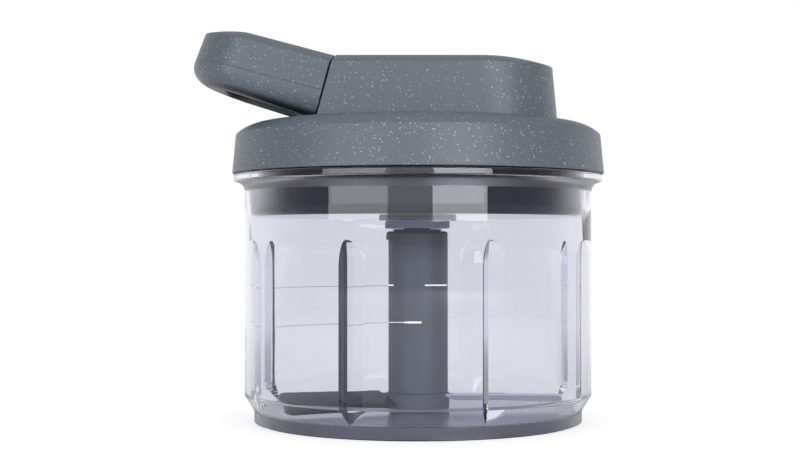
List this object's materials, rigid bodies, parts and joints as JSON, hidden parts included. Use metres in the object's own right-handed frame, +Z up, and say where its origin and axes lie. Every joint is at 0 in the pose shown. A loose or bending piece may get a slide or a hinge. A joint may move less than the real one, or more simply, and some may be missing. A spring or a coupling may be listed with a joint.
{
  "type": "pull-string food chopper",
  "caption": "Hand-pulled food chopper: a clear bowl with a bladed spindle under a domed lid whose pull handle unwinds a cord to spin the blades.",
  "frame": {"origin": "centre of the base pad's underside, where the chopper stands", "axes": "+Z up along the spindle, the pull handle points towards -X, the blades turn about +Z"},
  "size_m": [0.1435, 0.13, 0.1365],
  "materials": {
    "speckled_plastic": "matt moulded, blue-grey with pale flecks",
    "plain_plastic": "satin moulded, blue-grey with a few flecks",
    "clear_plastic": "clear, polished",
    "grip_rubber": "matt, blue-grey",
    "seal_rubber": "satin, pale grey",
    "steel": "turned",
    "blade_steel": "brushed along the blade",
    "spring_steel": "rolled strip",
    "bearing_plastic": "smooth, off-white",
    "inner_plastic": "plain moulded, off-white",
    "cord": "braided"
  },
  "bodies": {
    "bowl": {"bowl": "clear_plastic", "base_pad": "grip_rubber", "blade_pin": "steel"},
    "blade_unit": {"spindle_bush": "bearing_plastic", "blade_spindle": "plain_plastic", "spindle_foot": "plain_plastic", "lower_blade": "blade_steel", "upper_blade": "blade_steel"},
    "lid": {"lid_plug": "plain_plastic", "sealing_ring": "seal_rubber", "shaft_bush": "bearing_plastic", "spring_cup": "inner_plastic", "spring_cover": "inner_plastic", "recoil_spring": "spring_steel", "lid_cover": "speckled_plastic", "spool_bearing": "bearing_plastic", "housing_cover": "speckled_plastic", "cord_guide": "bearing_plastic", "cord_run": "cord", "plug_screws": "steel", "housing_screws": "steel"},
    "drive": {"drive_dog": "plain_plastic", "drive_shaft": "steel", "ratchet_wheel": "inner_plastic", "shaft_clip": "steel"},
    "spool": {"cord_spool": "inner_plastic", "cord_winding": "cord", "ratchet_pawls": "inner_plastic"},
    "handle": {"handle_top": "speckled_plastic", "handle_grip": "speckled_plastic", "handle_screws": "steel", "cord_ferrule": "cord", "cord_lead": "cord"}
  },
  "joints": [
    {"name": "lid_lift", "type": "slide", "parent": "bowl", "child": "lid", "axis": [0, 0, 1], "range_m": [0, 0.08]},
    {"name": "handle_pull", "type": "slide", "parent": "lid", "child": "handle", "axis": [-0.9668, 0, 0.2554], "range_m": [0, 0.45], "stiffness_N_per_m": 10, "springref_m": -0.5},
    {"name": "spool_spin", "type": "hinge", "parent": "lid", "child": "spool", "pos_m": [0, 0, 0], "axis": [0, 0, 1], "range_deg": [0, 1845]},
    {"name": "drive_spin", "type": "hinge", "parent": "lid", "child": "drive", "pos_m": [0, 0, 0], "axis": [0, 0, 1], "range_deg": [0, 1845]},
    {"name": "blade_spin", "type": "hinge", "parent": "bowl", "child": "blade_unit", "pos_m": [0, 0, 0], "axis": [0, 0, 1], "range_deg": [0, 1845]}
  ],
  "couplings": [
    {"joint": "spool_spin", "follows": "handle_pull", "rad_per_m": 71.429},
    {"joint": "drive_spin", "follows": "handle_pull", "rad_per_m": 71.429},
    {"joint": "blade_spin", "follows": "handle_pull", "rad_per_m": 71.429}
  ]
}
